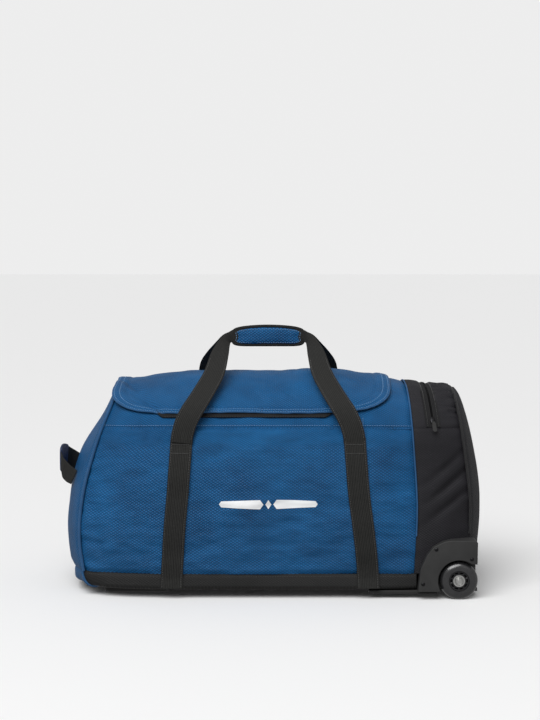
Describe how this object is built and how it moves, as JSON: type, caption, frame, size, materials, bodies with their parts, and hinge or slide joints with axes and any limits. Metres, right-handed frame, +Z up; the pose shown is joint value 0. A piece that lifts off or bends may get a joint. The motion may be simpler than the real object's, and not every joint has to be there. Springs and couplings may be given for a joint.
{
  "type": "rolling duffel bag",
  "caption": "Wheeled fabric duffel bag with webbing carry handles, zipped top flap, black end section, side-wheel mouldings and a pull-out handle.",
  "frame": {"origin": "centre of the bounding box in plan, on the floor the wheels and skid feet stand on", "axes": "+X along the bag towards the wheeled end, -Y to the front, +Z up"},
  "size_m": [0.8062, 0.3774, 0.4945],
  "materials": {
    "blue_fabric": "diamond ripstop polyester",
    "navy_fabric": "plain polyester",
    "black_fabric": "diamond ripstop polyester",
    "black_webbing": "ribbed webbing",
    "base_board": "stiff board",
    "black_plastic": "fine grained moulding",
    "wheel_tyre": "glossy urethane",
    "steel": "satin",
    "aluminium": "satin anodised"
  },
  "bodies": {
    "bag": {"base_shell": "black_fabric", "front_panel": "blue_fabric", "back_panel": "blue_fabric", "top_yoke": "blue_fabric", "left_end_panel": "blue_fabric", "end_section": "black_fabric", "right_end_panel": "black_fabric", "end_pocket_divider": "black_fabric", "base_board": "base_board", "front_strap_left": "black_webbing", "front_strap_right": "black_webbing", "back_strap_left": "black_webbing", "back_strap_right": "black_webbing", "main_zip_tape": "black_webbing", "end_zip_tape": "black_webbing", "wheel_housing_front": "black_plastic", "wheel_housing_back": "black_plastic", "wheel_tray": "black_plastic", "axle_bolt_front": "steel", "axle_bolt_back": "steel", "skid_foot_front": "black_plastic", "skid_foot_back": "black_plastic", "trolley_outer_tube_front": "aluminium", "trolley_outer_tube_back": "aluminium", "trolley_foot_block": "black_plastic", "trolley_bezel": "black_plastic"},
    "lid": {"top_flap": "blue_fabric", "lid_zip_tape": "black_webbing"},
    "front_handle": {"front_handle_strap": "black_webbing", "handle_wrap_front": "blue_fabric"},
    "back_handle": {"back_handle_strap": "black_webbing", "handle_wrap_back": "blue_fabric"},
    "end_loop": {"end_loop_strap": "black_webbing", "end_loop_sleeve": "navy_fabric"},
    "front_wheel": {"wheel_tyre_front": "wheel_tyre", "wheel_hub_front": "black_plastic", "wheel_bearing_front_outer": "steel", "wheel_bearing_front_inner": "steel"},
    "back_wheel": {"wheel_tyre_back": "wheel_tyre", "wheel_hub_back": "black_plastic", "wheel_bearing_back_outer": "steel", "wheel_bearing_back_inner": "steel"},
    "trolley_middle": {"trolley_middle_tube_front": "aluminium", "trolley_middle_tube_back": "aluminium"},
    "trolley_inner": {"trolley_inner_tube_front": "aluminium", "trolley_inner_tube_back": "aluminium", "trolley_grip": "black_plastic"},
    "trolley_button": {"release_button": "black_plastic"},
    "main_slider_left": {"main_zip_slider_left": "steel"},
    "main_slider_right": {"main_zip_slider_right": "steel"},
    "end_slider": {"end_zip_slider": "steel"},
    "end_pull": {"end_zip_pull": "black_plastic"}
  },
  "joints": [
    {"name": "front_handle_swing", "type": "hinge", "parent": "bag", "child": "front_handle", "pos_m": [-0.0035, -0.187, 0.3], "axis": [1, 0, 0], "range_deg": [0, 180]},
    {"name": "back_handle_swing", "type": "hinge", "parent": "bag", "child": "back_handle", "pos_m": [-0.0035, 0.187, 0.3], "axis": [-1, 0, 0], "range_deg": [0, 180]},
    {"name": "lid_hinge", "type": "hinge", "parent": "bag", "child": "lid", "pos_m": [-0.02259, 0.13338, 0.36896], "axis": [-1, 0, 0], "range_deg": [0, 90]},
    {"name": "end_loop_swing", "type": "hinge", "parent": "bag", "child": "end_loop", "pos_m": [-0.3705, 0, 0.213], "axis": [0, 1, 0], "range_deg": [-20, 20]},
    {"name": "front_wheel_spin", "type": "hinge", "parent": "bag", "child": "front_wheel", "pos_m": [0.3463, -0.173, 0.035], "axis": [0, 1, 0], "continuous": true},
    {"name": "back_wheel_spin", "type": "hinge", "parent": "bag", "child": "back_wheel", "pos_m": [0.3463, 0.173, 0.035], "axis": [0, 1, 0], "continuous": true},
    {"name": "trolley_stage_one", "type": "slide", "parent": "bag", "child": "trolley_middle", "axis": [-1, 0, 0], "range_m": [0, 0.3]},
    {"name": "trolley_stage_two", "type": "slide", "parent": "trolley_middle", "child": "trolley_inner", "axis": [-1, 0, 0], "range_m": [0, 0.3]},
    {"name": "release_button_press", "type": "slide", "parent": "trolley_inner", "child": "trolley_button", "axis": [1, 0, 0], "range_m": [0, 0.003], "stiffness_N_per_m": 400},
    {"name": "main_zip_left_slide", "type": "slide", "parent": "bag", "child": "main_slider_left", "axis": [-1, 0, 0], "range_m": [0, 0.14]},
    {"name": "main_zip_right_slide", "type": "slide", "parent": "bag", "child": "main_slider_right", "axis": [1, 0, 0], "range_m": [0, 0.14]},
    {"name": "end_zip_slide", "type": "slide", "parent": "bag", "child": "end_slider", "axis": [-0.0687, 0.5863, 0.8072], "range_m": [0, 0.035]},
    {"name": "end_zip_pull_swing", "type": "hinge", "parent": "end_slider", "child": "end_pull", "pos_m": [0.29947, -0.16012, 0.32578], "axis": [-0.9754, -0.2094, 0.0691], "range_deg": [0, 75]}
  ],
  "couplings": [
    {"joint": "back_handle_swing", "follows": "front_handle_swing", "ratio": 1},
    {"joint": "lid_hinge", "follows": "front_handle_swing", "ratio": 0.5}
  ]
}
